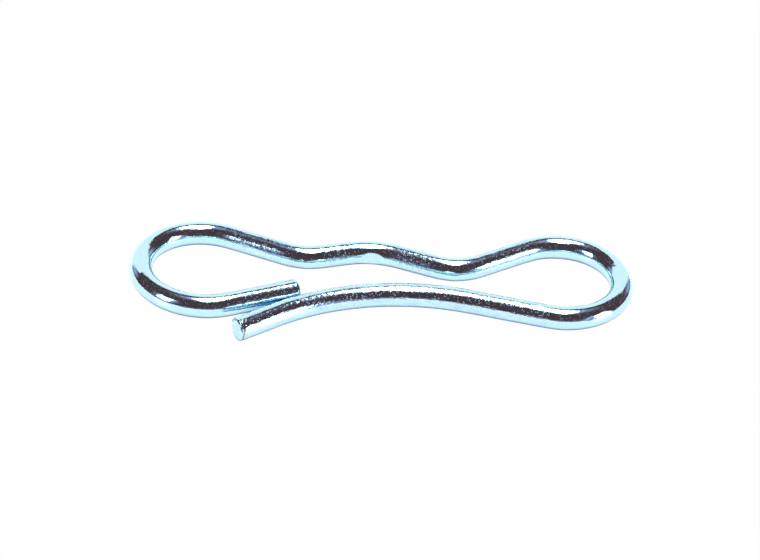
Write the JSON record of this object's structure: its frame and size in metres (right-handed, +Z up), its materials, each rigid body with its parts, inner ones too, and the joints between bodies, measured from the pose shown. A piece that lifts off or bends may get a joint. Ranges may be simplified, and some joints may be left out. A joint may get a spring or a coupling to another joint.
{
  "type": "bow tie cotter pin",
  "caption": "Spring wire bent flat into a bow tie: two end loops, a wavy back whose saddle grips a shaft, and a long leg that goes through the shaft's cross hole.",
  "frame": {"origin": "under the middle of the pin's outline, on the surface that it lies flat on", "axes": "+X along the pin from the loop with the short leg to the other loop, +Y towards the wavy back, +Z up out of the plane that the wire is bent in"},
  "size_m": [0.0506, 0.0186, 0.0024],
  "materials": {
    "zinc_plated_wire": "bright zinc plating with a pale blue cast over drawn spring steel wire"
  },
  "bodies": {
    "root": {"bow_tie_cotter_pin": "zinc_plated_wire"}
  },
  "joints": []
}
